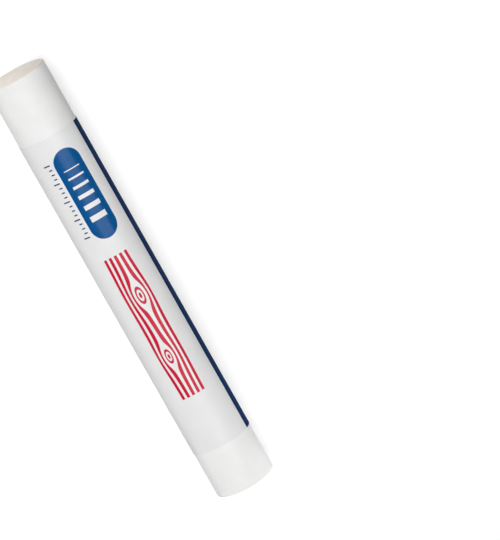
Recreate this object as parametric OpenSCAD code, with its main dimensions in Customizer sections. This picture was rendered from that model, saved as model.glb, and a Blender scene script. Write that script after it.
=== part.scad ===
// Putty stick: a round bar of white wax filler with a self-adhesive paper label
// rolled once round its middle. Both ends of the wax are bare.
// Frame: the stick lies on its side along X, +Z up, on the plane Z = 0. The label
// reads along +X when seen from above. The origin is under the stick's middle.

/* [Wax stick] */
// Diameter of the wax bar
stick_d = 12.7; // [8:0.1:20]
// Length of the wax bar, end face to end face
stick_len = 95.25; // [60:0.25:160]
// Radius that rounds the rim of each end
rim_r = 0.3; // [0.1:0.05:1.5]

/* [Label] */
// Bare wax between the left end and the label
bare_left = 13.2; // [4:0.1:20]
// Bare wax between the right end and the label
bare_right = 10.3; // [4:0.1:20]
// Thickness of the label's paper
paper_t = 0.08; // [0.06:0.01:0.3]
// Width of the lap, where the end of the label covers its beginning
lap_w = 4.5; // [2.5:0.5:8]
// Angle up from the bottom of the lying stick, towards +Y, where the climb to the lap starts
climb_at = 16; // [6:1:60]
// Radius of the label's die-cut corners
corner_r = 1.2; // [0.5:0.1:2]

/* [Adhesive] */
// Thickness of the adhesive coat on the back of the label
glue_t = 0.03; // [0.02:0.01:0.1]

/* [Hidden] */
$fn = 96;

stick_r = stick_d / 2;
label_len = stick_len - bare_left - bare_right;
glue_r = stick_r;             // inner face of the adhesive, on the wax
paper_r = glue_r + glue_t;    // inner face of the paper, on the adhesive
lap_rise = glue_t + paper_t;  // one layer of label
axis_z = stick_r + lap_rise;  // the stick lies on its label
far = 2 * stick_r;            // a reach past everything that is drawn
cut_past = 1;                 // how far a cutter runs past what it cuts
join_a = 3;                   // angle that two stretches of one layer share
kink_a = 3;                   // bend where the label leaves the wax to climb
free_a = 2;                   // angle from the end of the climb to the lap
tuck = 0.005;                 // how far a corner's arc runs over the edges it rounds

// The label starts at lap_at and goes once round the wax. At climb_at it rises in a
// short flat onto its own beginning, and it ends at end_at, one lap past its start.
climb_a = acos(stick_r * cos(kink_a) / (stick_r + lap_rise));
lap_at = climb_at + climb_a + free_a;
end_at = lap_at + lap_w / (stick_r + 2 * lap_rise) * 180 / PI;

function polar(r, a) = [r * cos(a), r * sin(a)];

// Turns what is drawn round the Z axis, from its left end up, to lie along X.
// An angle of 0 then points down, 90 points along +Y and 180 points up.
module lay_down() {
    translate([-stick_len / 2, 0, axis_z]) rotate([0, 90, 0]) children();
}

// Half the outline of the bar, with rounded rims, for turning round the axis.
module bar_profile() {
    translate([0, rim_r]) square([stick_r, stick_len - 2 * rim_r]);
    square([stick_r - rim_r, stick_len]);
    for (z = [rim_r, stick_len - rim_r])
        translate([stick_r - rim_r, z]) circle(rim_r);
}

// A slice of the plane between two angles.
module slice(from, to) {
    polygon([[0, 0], for (i = [0:4]) polar(far, from + (to - from) * i / 4)]);
}

// A disc of radius r with the flat of the climb and the step of the lap on it.
module stepped_disc(r) {
    circle(r);
    intersection() {
        circle(r + lap_rise);
        slice(climb_at, end_at + join_a);
        rotate(climb_at) translate([-far, -far])
            square([far + r * cos(kink_a), 2 * far]);
    }
}

// The first turn of a layer, open where the label climbs over its beginning.
module first_turn(inner_r, t) {
    translate([0, 0, bare_left]) linear_extrude(label_len) difference() {
        circle(inner_r + t);
        circle(inner_r);
        slice(climb_at - join_a, lap_at);
    }
}

// The rest of a layer: its climb and its lap, and the last of the first turn.
module climb_and_lap(inner_r, t) {
    translate([0, 0, bare_left]) linear_extrude(label_len) intersection() {
        difference() {
            stepped_disc(inner_r + t);
            stepped_disc(inner_r);
        }
        slice(climb_at - 2 * join_a, end_at);
    }
}

// What a die leaves outside a rounded corner, cut radially through one layer at
// both ends of an edge. The layer lies on the side of the edge that side names:
// 1 for growing angles, -1 for shrinking ones.
module corner_waste(r, edge_at, side) {
    for (far_end = [0, 1])
        translate([0, 0, bare_left + far_end * label_len])
            rotate(edge_at) mirror([0, side < 0 ? 1 : 0, 0]) mirror([0, 0, far_end])
                translate([r - cut_past, 0, 0]) rotate([90, 0, 90])
                    linear_extrude(2 * cut_past) difference() {
                        translate([-cut_past, -cut_past])
                            square(corner_r + cut_past);
                        translate([corner_r - tuck, corner_r - tuck])
                            circle(corner_r);
                    }
}

// One layer of the rolled label, with the corners of both its ends rounded.
module rolled_layer(inner_r, t) {
    difference() {
        first_turn(inner_r, t);
        corner_waste(inner_r, lap_at, 1);
    }
    difference() {
        climb_and_lap(inner_r, t);
        corner_waste(inner_r + lap_rise, end_at, -1);
    }
}

module wax_stick() {
    color("whitesmoke") lay_down() rotate_extrude() bar_profile();
}

module label_adhesive() {
    color("beige") lay_down() rolled_layer(glue_r, glue_t);
}

module paper_label() {
    color("white") lay_down() rolled_layer(paper_r, paper_t);
}

wax_stick();
label_adhesive();
paper_label();
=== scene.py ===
from math import atan2, copysign, cos, hypot, pi, radians, remainder, sin

import bmesh
import bpy
from mathutils import Matrix, Vector, noise


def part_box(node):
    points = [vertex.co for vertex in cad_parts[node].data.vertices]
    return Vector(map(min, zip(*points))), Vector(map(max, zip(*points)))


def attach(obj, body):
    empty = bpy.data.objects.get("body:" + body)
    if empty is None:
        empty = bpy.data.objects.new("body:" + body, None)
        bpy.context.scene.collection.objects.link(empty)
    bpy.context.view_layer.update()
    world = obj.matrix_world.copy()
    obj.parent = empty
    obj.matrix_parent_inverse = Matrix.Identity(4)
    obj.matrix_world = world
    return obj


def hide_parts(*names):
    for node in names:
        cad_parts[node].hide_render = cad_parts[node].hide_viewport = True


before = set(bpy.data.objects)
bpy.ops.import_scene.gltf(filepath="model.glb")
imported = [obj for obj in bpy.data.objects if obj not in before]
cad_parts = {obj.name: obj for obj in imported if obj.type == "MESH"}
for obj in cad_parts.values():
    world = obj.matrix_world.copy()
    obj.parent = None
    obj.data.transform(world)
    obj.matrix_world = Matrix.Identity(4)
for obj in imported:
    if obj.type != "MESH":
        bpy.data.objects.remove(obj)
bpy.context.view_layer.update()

# Wax stick
# The bar of filler: white wax loaded with chalk, cast round and then cut square at both ends.
# Its skin is faintly uneven from the mould, and handling has blunted and nicked its rims.
mm = 0.001
full_turn = 2 * pi
wax_low, wax_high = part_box("wax_stick")
bar_radius = (wax_high.z - wax_low.z) / 2
bar_half = (wax_high.x - wax_low.x) / 2
axis_height = (wax_high.z + wax_low.z) / 2
rim_radius = 0.3 * mm
rim_facets = 6
rings_along = 91
rings_on_face = 11
facets_round = 180
weld_gap = 0.001 * mm
face_dish = 0.08 * mm
skin_swell = 0.012 * mm
swell_size = 5 * mm
nicks_per_rim = 7
nick_size = 0.5 * mm
nick_spread = 0.35 * mm
nick_slope = 0.12
golden_turn = radians(137.5)

bar = bmesh.new()
corners = [(-bar_half, 0), (-bar_half, bar_radius), (bar_half, bar_radius), (bar_half, 0)]
outline = [bar.verts.new((x, 0, r)) for x, r in corners]
for pair in zip(outline, outline[1:]):
    bar.edges.new(pair)
bmesh.ops.bevel(
    bar, geom=outline[1:3], affect="VERTICES", offset=rim_radius,
    segments=rim_facets, profile=0.5, material=-1
)
straights = sorted(bar.edges, key=lambda edge: edge.calc_length())[-3:]
bmesh.ops.subdivide_edges(bar, edges=straights[2:], cuts=rings_along)
bmesh.ops.subdivide_edges(bar, edges=straights[:2], cuts=rings_on_face)
bmesh.ops.spin(
    bar, geom=bar.verts[:] + bar.edges[:], cent=(0, 0, 0), axis=(1, 0, 0),
    angle=full_turn, steps=facets_round, use_merge=True
)
bmesh.ops.remove_doubles(bar, verts=bar.verts, dist=weld_gap)
bmesh.ops.recalc_face_normals(bar, faces=bar.faces)

# The bar's map for baking has this name. On it, the turn goes one way, and the
# profile, from the middle of one end over the skin to the middle of the other, goes the other way.
bake_map = "OFBake"
map_reach = 0.49
profile_half = bar_half + bar_radius
unrolled = bar.loops.layers.uv.new(bake_map)
for face in bar.faces:
    face_middle = face.calc_center_median()
    face_turn = atan2(face_middle.y, face_middle.z)
    for loop in face.loops:
        x, y, z = loop.vert.co
        from_axis = hypot(y, z)
        vert_turn = face_turn
        if from_axis > weld_gap:
            vert_turn += remainder(atan2(y, z) - face_turn, full_turn)
        along = x + copysign(bar_radius - from_axis, x)
        loop[unrolled].uv = (0.5 + map_reach * vert_turn / pi, 0.5 + map_reach * along / profile_half)


def nick_depth(point):
    """How far the nicks in the two rims, no two of one size, set a point of the bar back."""
    depth = 0
    for i in range(2 * nicks_per_rim):
        end = bar_half if i % 2 else -bar_half
        size = nick_size + nick_spread * sin(3 * i)
        nick_turn = i * golden_turn
        nick = Vector((end, bar_radius * sin(nick_turn), bar_radius * cos(nick_turn)))
        near = max(0, 1 - (point - nick).length / size)
        depth += nick_slope * size * near * near
    return depth


for vert in bar.verts:
    swell = skin_swell * noise.noise(vert.co / swell_size)
    share_out = hypot(vert.co.y, vert.co.z) / bar_radius
    on_face = abs(vert.co.x) > bar_half - rim_radius
    dish = face_dish * max(0, 1 - share_out**2) if on_face else 0
    vert.co += vert.normal * (swell - dish - nick_depth(vert.co))
bmesh.ops.translate(bar, verts=bar.verts, vec=(0, 0, axis_height))


def mesh_of(name, shape):
    """The mesh of a finished shape, which is then let go."""
    mesh = bpy.data.meshes.new(name)
    shape.to_mesh(mesh)
    shape.free()
    return mesh


def in_scene(name, data):
    """A new object in the scene, at the origin."""
    thing = bpy.data.objects.new(name, data)
    bpy.context.scene.collection.objects.link(thing)
    return thing


def finished_piece(name, shape, *materials):
    """A piece of the stick, smooth but for its sharp edges, riding on the part's one body."""
    mesh = mesh_of(name, shape)
    mesh.shade_smooth()
    mesh.set_sharp_from_angle(angle=radians(50))
    for material in materials:
        mesh.materials.append(material)
    piece = in_scene(name, mesh)
    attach(piece, "root")
    return piece


def new_material(name):
    """A material, its node tree and its shader."""
    material = bpy.data.materials.new(name)
    material.use_nodes = True
    return material, material.node_tree, material.node_tree.nodes["Principled BSDF"]


def feed(tree, socket, value):
    """Joins a socket to an output, or sets it to a plain value."""
    if isinstance(value, bpy.types.NodeSocket):
        tree.links.new(value, socket)
    else:
        socket.default_value = value


def give_finish(tree, shader, finish):
    """Feeds each named socket of a shader."""
    for name, value in finish.items():
        feed(tree, shader.inputs[name], value)


def calc(tree, operation, *values):
    """What a Math node makes of sockets and numbers."""
    node = tree.nodes.new("ShaderNodeMath")
    node.operation = operation
    for socket, value in zip(node.inputs, values):
        feed(tree, socket, value)
    return node.outputs["Value"]


def ranged(tree, value, spread, to=(0, 1)):
    """A value carried over from one spread of numbers to another, and held at its two ends."""
    node = tree.nodes.new("ShaderNodeMapRange")
    for name, number in zip(("From Min", "From Max", "To Min", "To Max"), (*spread, *to)):
        node.inputs[name].default_value = number
    tree.links.new(value, node.inputs["Value"])
    return node.outputs["Result"]


def mixed(tree, share, first, second):
    """Two colours, mixed by a share from 0 to 1."""
    node = tree.nodes.new("ShaderNodeMix")
    node.data_type = "RGBA"
    # The sockets for colours share their names with those for numbers, so they are found by count.
    for socket, value in zip((node.inputs[0], node.inputs[6], node.inputs[7]), (share, first, second)):
        feed(tree, socket, value)
    return node.outputs[2]


def placed_in_mm(tree, stretch=(1, 1, 1)):
    """The piece's own coordinates in millimetres, with each axis stretched."""
    coordinates = tree.nodes.new("ShaderNodeTexCoord")
    mapping = tree.nodes.new("ShaderNodeMapping")
    mapping.inputs["Scale"].default_value = [share / mm for share in stretch]
    tree.links.new(coordinates.outputs["Object"], mapping.inputs["Vector"])
    return mapping.outputs["Vector"]


def along_axes(tree, vector):
    """The X, Y and Z of a vector, by name."""
    node = tree.nodes.new("ShaderNodeSeparateXYZ")
    tree.links.new(vector, node.inputs["Vector"])
    return node.outputs


# Noise seldom leaves this spread.
noise_spread = (0.3, 0.7)


def mottle(tree, place, per_mm, detail, to=(0, 1)):
    """Noise with so many blotches to the millimetre, over a spread of numbers."""
    cloud = tree.nodes.new("ShaderNodeTexNoise")
    cloud.inputs["Scale"].default_value = per_mm
    cloud.inputs["Detail"].default_value = detail
    tree.links.new(place, cloud.inputs["Vector"])
    return ranged(tree, cloud.outputs["Fac"], noise_spread, to)


def relief(tree, height, depth, under=None):
    """The normal of a relief of that depth, for heights from 0 to 1, on top of another relief."""
    node = tree.nodes.new("ShaderNodeBump")
    node.inputs["Distance"].default_value = depth
    tree.links.new(height, node.inputs["Height"])
    if under:
        tree.links.new(under, node.inputs["Normal"])
    return node.outputs["Normal"]


def shade(red, green, blue):
    """A colour as a screen gives it, from 0 to 255, in the linear light of a shader."""
    return (*(((level / 255 + 0.055) / 1.055) ** 2.4 for level in (red, green, blue)), 1)


skin_light = shade(244, 244, 244)
skin_dark = shade(241, 240, 239)
# The end faces get a warmer, slightly darker cream than the skin: painted warm light and shade, not a
# colour of the wax itself.
painted_warm_end_light = shade(240, 234, 226)
painted_warm_end_dark = shade(235, 226, 215)
cut_margin = 0.1 * mm
bubbles_per_mm = 0.6
pinhole_radius_mm = 0.13

wax, tree, shader = new_material("white_wax")
place = placed_in_mm(tree)
from_middle = calc(tree, "ABSOLUTE", along_axes(tree, place)["X"])
cut_face = ranged(tree, from_middle, ((bar_half - rim_radius) / mm, (bar_half - cut_margin) / mm))
on_skin = calc(tree, "SUBTRACT", 1, cut_face)
skin = mixed(tree, mottle(tree, place, per_mm=0.22, detail=3), skin_light, skin_dark)
# Painted warm light and shade on the end faces, blotched.
painted_warm_end_colour = mixed(tree, mottle(tree, place, per_mm=0.5, detail=4), painted_warm_end_light, painted_warm_end_dark)

drawn_lines = mottle(tree, placed_in_mm(tree, stretch=(0.06, 1, 1)), per_mm=1.6, detail=3)
knife_marks = mottle(tree, placed_in_mm(tree, stretch=(1, 0.04, 1)), per_mm=2.2, detail=3)
chalk_grain = mottle(tree, place, per_mm=3.5, detail=3)
bubbles = tree.nodes.new("ShaderNodeTexVoronoi")
bubbles.inputs["Scale"].default_value = bubbles_per_mm
tree.links.new(place, bubbles.inputs["Vector"])
pinholes = ranged(tree, bubbles.outputs["Distance"], (0, pinhole_radius_mm * bubbles_per_mm))
surface = relief(tree, calc(tree, "MULTIPLY", drawn_lines, on_skin), depth=0.012 * mm)
surface = relief(tree, calc(tree, "MULTIPLY", knife_marks, cut_face), depth=0.02 * mm, under=surface)
surface = relief(tree, chalk_grain, depth=0.006 * mm, under=surface)
surface = relief(tree, pinholes, depth=0.05 * mm, under=surface)

give_finish(tree, shader, {
    "Base Color": mixed(tree, cut_face, skin, painted_warm_end_colour),
    "Roughness": mottle(tree, place, per_mm=0.6, detail=4, to=(0.48, 0.6)),
    "Normal": surface,
    "IOR": 1.45,
    "Specular IOR Level": 0.08,
    "Subsurface Weight": 0.15,
    "Subsurface Radius": (1, 0.9, 0.8),
    "Subsurface Scale": 1.2 * mm,
})

wax_bar = finished_piece("wax_bar", bar, wax)
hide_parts("wax_stick")

# Label adhesive
# A thin coat of pressure-sensitive adhesive on the whole back of the label, milky where it is
# cut through. Only its edge shows, as a fine line under the label. The solid keeps its shape.
milk_light = shade(226, 222, 208)
milk_dark = shade(214, 208, 190)

adhesive, tree, shader = new_material("label_adhesive")
place = placed_in_mm(tree)
give_finish(tree, shader, {
    "Base Color": mixed(tree, mottle(tree, place, per_mm=1.5, detail=2), milk_light, milk_dark),
    "Roughness": mottle(tree, place, per_mm=4, detail=2, to=(0.3, 0.45)),
})
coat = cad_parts["label_adhesive"]
coat.data.materials.clear()
coat.data.materials.append(adhesive)

# Paper label
# A sheet of semi-gloss coated paper, die-cut with rounded corners and printed in three inks. It is
# rolled once round the bar, and its last few millimetres are stuck down over its beginning.
label_low, label_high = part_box("paper_label")
paper_thickness = 0.08 * mm
corner_radius = 1.2 * mm
corner_facets = 8
row_step = 0.275 * mm
column_step = 2.5 * mm
score_gap = 0.0001 * mm
sheet_waves = 0.012 * mm
wave_size = 3.5 * mm

# The label's turn goes up from the bottom of the lying stick, towards +Y.
lap_rise = wax_low.z - label_low.z
wrap_radius = bar_radius + lap_rise
starts_at = radians(29)
climbs_at = radians(16) + full_turn
laps_at = starts_at + full_turn
ends_at = radians(68.24) + full_turn
sheet_top = (pi - starts_at) * wrap_radius
sheet_foot = (pi - ends_at) * wrap_radius
sheet_length = label_high.x - label_low.x
sheet_width = sheet_top - sheet_foot

sheet = bmesh.new()
bmesh.ops.create_grid(sheet, x_segments=1, y_segments=1, size=0.5)
bmesh.ops.scale(sheet, verts=sheet.verts, vec=(sheet_length, sheet_width, 1))
bmesh.ops.translate(
    sheet, verts=sheet.verts, vec=(label_low.x + sheet_length / 2, sheet_foot + sheet_width / 2, 0)
)
bmesh.ops.bevel(
    sheet, geom=sheet.verts[:], affect="VERTICES", offset=corner_radius,
    segments=corner_facets, profile=0.5, material=-1
)


def score(shape, low, length, step, direction):
    """Cuts a flat sheet into equal strips, across a direction."""
    strips = round(length / step)
    for i in range(1, strips):
        bmesh.ops.bisect_plane(
            shape, geom=shape.verts[:] + shape.edges[:] + shape.faces[:], dist=score_gap,
            plane_co=direction * (low + length * i / strips), plane_no=direction
        )


score(sheet, sheet_foot, sheet_width, row_step, Vector((0, 1, 0)))
score(sheet, label_low.x, sheet_length, column_step, Vector((1, 0, 0)))

sheet_map = "flat_sheet"
flat = sheet.loops.layers.uv.new(sheet_map)
for face in sheet.faces:
    for loop in face.loops:
        x, y = loop.vert.co.xy
        loop[flat].uv = ((x - label_low.x) / sheet_length, (y - sheet_foot) / sheet_width)

for vert in sheet.verts:
    x, y = vert.co.xy
    turn = pi - y / wrap_radius
    climbed = min(1, max(0, (turn - climbs_at) / (laps_at - climbs_at)))
    eased = climbed**2 * (3 - 2 * climbed)
    waves = sheet_waves * noise.noise(Vector((x, y, 0)) / wave_size)
    radius = wrap_radius + lap_rise * eased + waves
    vert.co = (x, radius * sin(turn), axis_height - radius * cos(turn))
bmesh.ops.recalc_face_normals(sheet, faces=sheet.faces)
printed_side = set(sheet.faces)
bmesh.ops.solidify(sheet, geom=sheet.faces[:], thickness=paper_thickness)
printed_verts = {vert for face in printed_side for vert in face.verts}

# On the label's map for baking, the back lies apart from the printed side, with the cut edge round it.
# A patch of that map has a middle and a size.
printed_patch = ((0.5, 0.41), (0.98, 0.80))
back_patch = ((0.5, 0.90), (0.95, 0.14))
edge_patch = ((0.5, 0.90), (0.98, 0.16))


def on_patch(patch, sheet_spot):
    """Where a spot of the flat sheet lies on a patch of the map."""
    return [middle + size * (share - 0.5) for middle, size, share in zip(*patch, sheet_spot)]


patches = sheet.loops.layers.uv.new(bake_map)
for face in sheet.faces:
    is_printed = face in printed_side
    face.material_index = 0 if is_printed else 1
    for loop in face.loops:
        hidden_patch = edge_patch if loop.vert in printed_verts else back_patch
        loop[patches].uv = on_patch(printed_patch if is_printed else hidden_patch, loop[flat].uv)

# Places on the print are in millimetres, along the stick and up round it, from the front's middle.
inks, tree, shader = new_material("printed_label")
flat_map = tree.nodes.new("ShaderNodeUVMap")
flat_map.uv_map = sheet_map
print_place = tree.nodes.new("ShaderNodeMapping")
print_place.inputs["Location"].default_value = (label_low.x / mm, sheet_foot / mm, 0)
print_place.inputs["Scale"].default_value = (sheet_length / mm, sheet_width / mm, 1)
tree.links.new(flat_map.outputs["UV"], print_place.inputs["Vector"])
spot = print_place.outputs["Vector"]
reading = along_axes(tree, spot)["X"]
rising = along_axes(tree, spot)["Y"]


def vector_calc(tree, operation, *values):
    """What a Vector Math node makes of sockets and vectors."""
    node = tree.nodes.new("ShaderNodeVectorMath")
    node.operation = operation
    for socket, value in zip(node.inputs, values):
        feed(tree, socket, value)
    return node.outputs["Value" if operation == "LENGTH" else "Vector"]


soft_edge = 0.025


def inked(tree, distance):
    """1 inside an outline and 0 outside it, with the slightly soft edge of print."""
    return ranged(tree, distance, (-soft_edge, soft_edge), to=(1, 0))


def past_sides(tree, place, middle, half_size):
    """How far a place on the print lies past the sides of a box, each way."""
    off = vector_calc(tree, "ABSOLUTE", vector_calc(tree, "SUBTRACT", place, (*middle, 0)))
    return vector_calc(tree, "SUBTRACT", off, (*half_size, 0))


def square_box(tree, place, middle, half_size):
    """Distance to the outline of a box with square corners, below 0 inside it."""
    past = along_axes(tree, past_sides(tree, place, middle, half_size))
    return calc(tree, "MAXIMUM", past["X"], past["Y"])


def round_box(tree, place, middle, half_size, corner):
    """Distance to the outline of a box with round corners, below 0 inside it."""
    core = [half - corner for half in half_size]
    past = vector_calc(tree, "MAXIMUM", past_sides(tree, place, middle, core), (0, 0, 0))
    return calc(tree, "SUBTRACT", vector_calc(tree, "LENGTH", past), corner)


def from_nearest(tree, along_row, pitch, count):
    """Distance along a row to the nearest of so many marks, evenly spaced round the row's middle."""
    reach = (count - 1) / 2
    nearest = calc(tree, "ROUND", calc(tree, "ADD", calc(tree, "DIVIDE", along_row, pitch), reach))
    held = calc(tree, "MAXIMUM", calc(tree, "MINIMUM", nearest, count - 1), 0)
    mark = calc(tree, "MULTIPLY", calc(tree, "SUBTRACT", held, reach), pitch)
    return calc(tree, "ABSOLUTE", calc(tree, "SUBTRACT", along_row, mark))


density = mottle(tree, spot, per_mm=1.2, detail=4)
paper = mixed(tree, mottle(tree, spot, per_mm=0.3, detail=3), shade(238, 238, 238), shade(235, 235, 235))
navy = mixed(tree, density, shade(0, 44, 94), shade(2, 50, 104))
blue = mixed(tree, density, shade(2, 80, 140), shade(5, 86, 148))
red = mixed(tree, density, shade(206, 20, 56), shade(200, 26, 60))

# A navy stripe runs along the whole label.
stripe_low = 6.73
stripe_high = 12.0
stripe_middle = (stripe_low + stripe_high) / 2
off_stripe = calc(tree, "ABSOLUTE", calc(tree, "SUBTRACT", rising, stripe_middle))
stripe = inked(tree, calc(tree, "SUBTRACT", off_stripe, stripe_high - stripe_middle))
print_colour = mixed(tree, stripe, paper, navy)

# A blue panel with round ends leaves lines of growing width bare.
panel_middle = (-21.1, 0.75)
panel_half_size = (10.1, 2.95)
panel_lines = 6
line_gap = 1.5
thinnest_line = 0.2
line_growth = 0.2
line_half_height = 1.75
panel = round_box(tree, spot, panel_middle, panel_half_size, corner=panel_half_size[1])
print_colour = mixed(tree, inked(tree, panel), print_colour, blue)
line_widths = [thinnest_line + i * line_growth for i in range(panel_lines)]
line_from = panel_middle[0] - (sum(line_widths) + (panel_lines - 1) * line_gap) / 2
for line_width in line_widths:
    line_middle = (line_from + line_width / 2, panel_middle[1])
    line = square_box(tree, spot, line_middle, (line_width / 2, line_half_height))
    print_colour = mixed(tree, inked(tree, line), print_colour, paper)
    line_from += line_width + line_gap

# Below the panel hangs a row of navy ticks, with a long one at every fourth.
rule_middle = panel_middle[0]
rule_top = -2.9
tick_pitch = 1.03
tick_half_width = 0.13
short_tick = 0.75
long_tick = 1.45
long_ticks = 5
ticks_per_long = 4
short_ticks = ticks_per_long * (long_ticks - 1) + 1
along_rule = calc(tree, "SUBTRACT", reading, rule_middle)
below_rule = calc(tree, "SUBTRACT", rule_top, rising)
tick_rows = (
    (short_tick, short_ticks, tick_pitch),
    (long_tick, long_ticks, ticks_per_long * tick_pitch),
)
for length, count, pitch in tick_rows:
    off_tick = calc(tree, "SUBTRACT", from_nearest(tree, along_rule, pitch, count), tick_half_width)
    off_middle = calc(tree, "ABSOLUTE", calc(tree, "SUBTRACT", below_rule, length / 2))
    past_end = calc(tree, "SUBTRACT", off_middle, length / 2)
    ticks = calc(tree, "MAXIMUM", off_tick, past_end)
    print_colour = mixed(tree, inked(tree, ticks), print_colour, navy)

# A plank of red grain has lines that swerve round two knots and stay out of their room. A knot is
# given by its place and its radius. It has a heart and a ring round it, as shares of that radius.
plank_middle = (9.05, -0.35)
plank_half_size = (16.3, 3.0)
plank_corner = 0.7
grain_pitch = 1.06
grain_width = 0.58
knots = ((2.3, 0.18, 1.15), (16.0, -0.9, 0.95))
knot_stretch = 0.42
heart_share = 0.24
ring_share = 0.6
ring_half_share = 0.13
grain = rising
knot_rooms = 0
knot_lines = 0
for knot_x, knot_y, knot_radius in knots:
    along_knot = calc(tree, "MULTIPLY", calc(tree, "SUBTRACT", reading, knot_x), knot_stretch)
    beside_knot = calc(tree, "SUBTRACT", rising, knot_y)
    squares = [calc(tree, "POWER", side, 2) for side in (along_knot, beside_knot)]
    square = calc(tree, "ADD", *squares)
    swerve = calc(tree, "DIVIDE", calc(tree, "MULTIPLY", beside_knot, knot_radius**2), square)
    grain = calc(tree, "SUBTRACT", grain, swerve)
    from_knot = calc(tree, "SQRT", square)
    knot_room = inked(tree, calc(tree, "SUBTRACT", from_knot, knot_radius))
    knot_rooms = calc(tree, "MAXIMUM", knot_rooms, knot_room)
    heart = calc(tree, "SUBTRACT", from_knot, heart_share * knot_radius)
    off_ring = calc(tree, "ABSOLUTE", calc(tree, "SUBTRACT", from_knot, ring_share * knot_radius))
    ring = calc(tree, "SUBTRACT", off_ring, ring_half_share * knot_radius)
    for distance in (heart, ring):
        knot_lines = calc(tree, "MAXIMUM", knot_lines, inked(tree, distance))
off_grain = calc(tree, "PINGPONG", calc(tree, "SUBTRACT", grain, plank_middle[1]), grain_pitch / 2)
grain_lines = inked(tree, calc(tree, "SUBTRACT", off_grain, grain_width / 2))
grain_lines = calc(tree, "MINIMUM", grain_lines, calc(tree, "SUBTRACT", 1, knot_rooms))
grain_lines = calc(tree, "MAXIMUM", grain_lines, knot_lines)
plank = round_box(tree, spot, plank_middle, plank_half_size, plank_corner)
print_colour = mixed(tree, calc(tree, "MULTIPLY", grain_lines, inked(tree, plank)), print_colour, red)

give_finish(tree, shader, {
    "Base Color": print_colour,
    "Roughness": mottle(tree, spot, per_mm=1.5, detail=3, to=(0.45, 0.55)),
    "Normal": relief(tree, mottle(tree, spot, per_mm=6, detail=3), depth=0.002 * mm),
    "Specular IOR Level": 0,
    "Coat Weight": 0.07,
    "Coat Roughness": 0.2,
})

pulp_light = shade(236, 235, 231)
pulp_dark = shade(226, 224, 218)
stock, tree, shader = new_material("label_stock")
place = placed_in_mm(tree)
give_finish(tree, shader, {
    "Base Color": mixed(tree, mottle(tree, place, per_mm=5, detail=3), pulp_light, pulp_dark),
    "Roughness": mottle(tree, place, per_mm=3, detail=3, to=(0.7, 0.9)),
})

label = finished_piece("rolled_label", sheet, inks, stock)
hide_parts("paper_label")

# Floor
# A plain white table that the stick lies on. It keeps the stick's soft shadow. Where it is seen it
# also glows, more with the distance from the stick, so that it stays white beyond the lamps' reach.
table_half = 8
glow_spread_mm = (200, 1200)
glow = (0.57, 1)

table_top = bmesh.new()
bmesh.ops.create_grid(table_top, x_segments=1, y_segments=1, size=table_half)
floor = in_scene("floor", mesh_of("floor", table_top))


def seen_directly(tree):
    """1 for the rays that show a surface as such, and 0 for the rays that it lights others by."""
    rays = tree.nodes.new("ShaderNodeLightPath")
    seen = rays.outputs["Is Camera Ray"]
    for kind in ("Is Glossy Ray", "Is Transmission Ray"):
        seen = calc(tree, "MAXIMUM", seen, rays.outputs[kind])
    return seen


white, tree, shader = new_material("white_floor")
far_off = ranged(tree, vector_calc(tree, "LENGTH", placed_in_mm(tree)), glow_spread_mm, glow)
give_finish(tree, shader, {
    "Base Color": shade(196, 196, 196),
    "Roughness": 0.9,
    "Specular IOR Level": 0,
    "Emission Color": (1, 1, 1, 1),
    "Emission Strength": calc(tree, "MULTIPLY", seen_directly(tree), far_off),
})
floor.data.materials.append(white)

# Light
# Soft boxes hang round the stick's own axis, and small cards lift its two ends. One strip shows
# only as sheen, and a dim even room fills what is left dark.
stick_middle = Vector((0, 0, axis_height))
far_reach = 0.7
room_light = 0.04


def soft_box(name, brightness, across, along, reach, turned, leant=0, lit_at=0):
    """A soft box that looks at a point of the stick's axis: turned round the axis from straight up,
    towards +Y, and leant along it, towards +X, in degrees."""
    lamp = bpy.data.lights.new(name, "AREA")
    lamp.shape = "RECTANGLE"
    lamp.size = along
    lamp.size_y = across
    lamp.energy = brightness * pi * across * along
    box = in_scene(name, lamp)
    aim = Matrix.Rotation(radians(-turned), 4, "X") @ Matrix.Rotation(radians(leant), 4, "Y")
    lit_point = stick_middle + Vector((lit_at, 0, 0))
    box.matrix_world = Matrix.Translation(lit_point) @ aim @ Matrix.Translation((0, 0, reach))
    box.visible_camera = False
    return box


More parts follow.
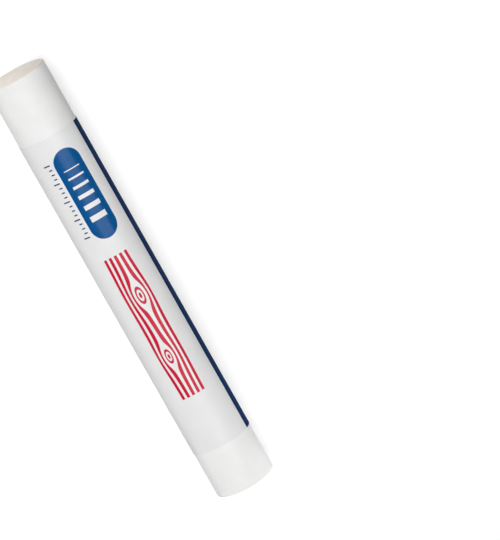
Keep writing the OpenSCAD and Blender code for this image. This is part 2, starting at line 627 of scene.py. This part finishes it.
shading_boxes = (
    soft_box(
        "key_box", brightness=4.45, across=0.4, along=1.0, reach=far_reach,
        turned=-10, lit_at=-0.13
    ),
    soft_box("left_box", brightness=2.3, across=0.12, along=1.0, reach=far_reach, turned=-85),
    soft_box("right_box", brightness=1.35, across=0.2, along=1.0, reach=far_reach, turned=65),
    soft_box(
        "right_end_card", brightness=6.0, across=0.016, along=0.016, reach=0.032,
        turned=92, leant=25, lit_at=bar_half
    ),
    soft_box(
        "left_end_card", brightness=5.0, across=0.006, along=0.006, reach=0.012,
        turned=-60, leant=-70, lit_at=-bar_half
    ),
    soft_box(
        "face_box", brightness=5.0, across=0.3, along=0.06, reach=0.4,
        turned=0, leant=85, lit_at=bar_half
    ),
)
for box in shading_boxes:
    box.visible_glossy = False
gloss_strip = soft_box("gloss_strip", brightness=15, across=0.56, along=1.4, reach=far_reach, turned=12)
gloss_strip.visible_diffuse = False

room = bpy.data.worlds.new("room")
room.use_nodes = True
tree = room.node_tree
give_finish(tree, tree.nodes["Background"], {
    "Color": (1, 1, 1, 1),
    "Strength": ranged(tree, seen_directly(tree), (0, 1), to=(room_light, 1)),
})
bpy.context.scene.world = room

# Camera
# It looks down on the stick through a long lens, leaning towards the stick's left end, and is
# rolled so that the stick runs from the upper left of the picture to the lower right.
lean = radians(12.81)
roll = radians(60.66)
camera_distance = 1.100
lens = 367.9
picture_middle = (23.66 * mm, 1.91 * mm)

down_stick = Vector((cos(lean), 0, sin(lean)))
over_stick = Vector((0, 1, 0))
backwards = Vector((-sin(lean), 0, cos(lean)))
rightwards = cos(roll) * down_stick + sin(roll) * over_stick
upwards = cos(roll) * over_stick - sin(roll) * down_stick
looks_at = stick_middle + picture_middle[0] * rightwards + picture_middle[1] * upwards
camera = in_scene("camera", bpy.data.cameras.new("camera"))
camera.data.lens = lens
camera.data.clip_end = 100
facing = Matrix((rightwards, upwards, backwards)).transposed().to_4x4()
camera.matrix_world = Matrix.Translation(looks_at + camera_distance * backwards) @ facing
bpy.context.scene.camera = camera
bpy.context.scene.view_settings.view_transform = "Standard"
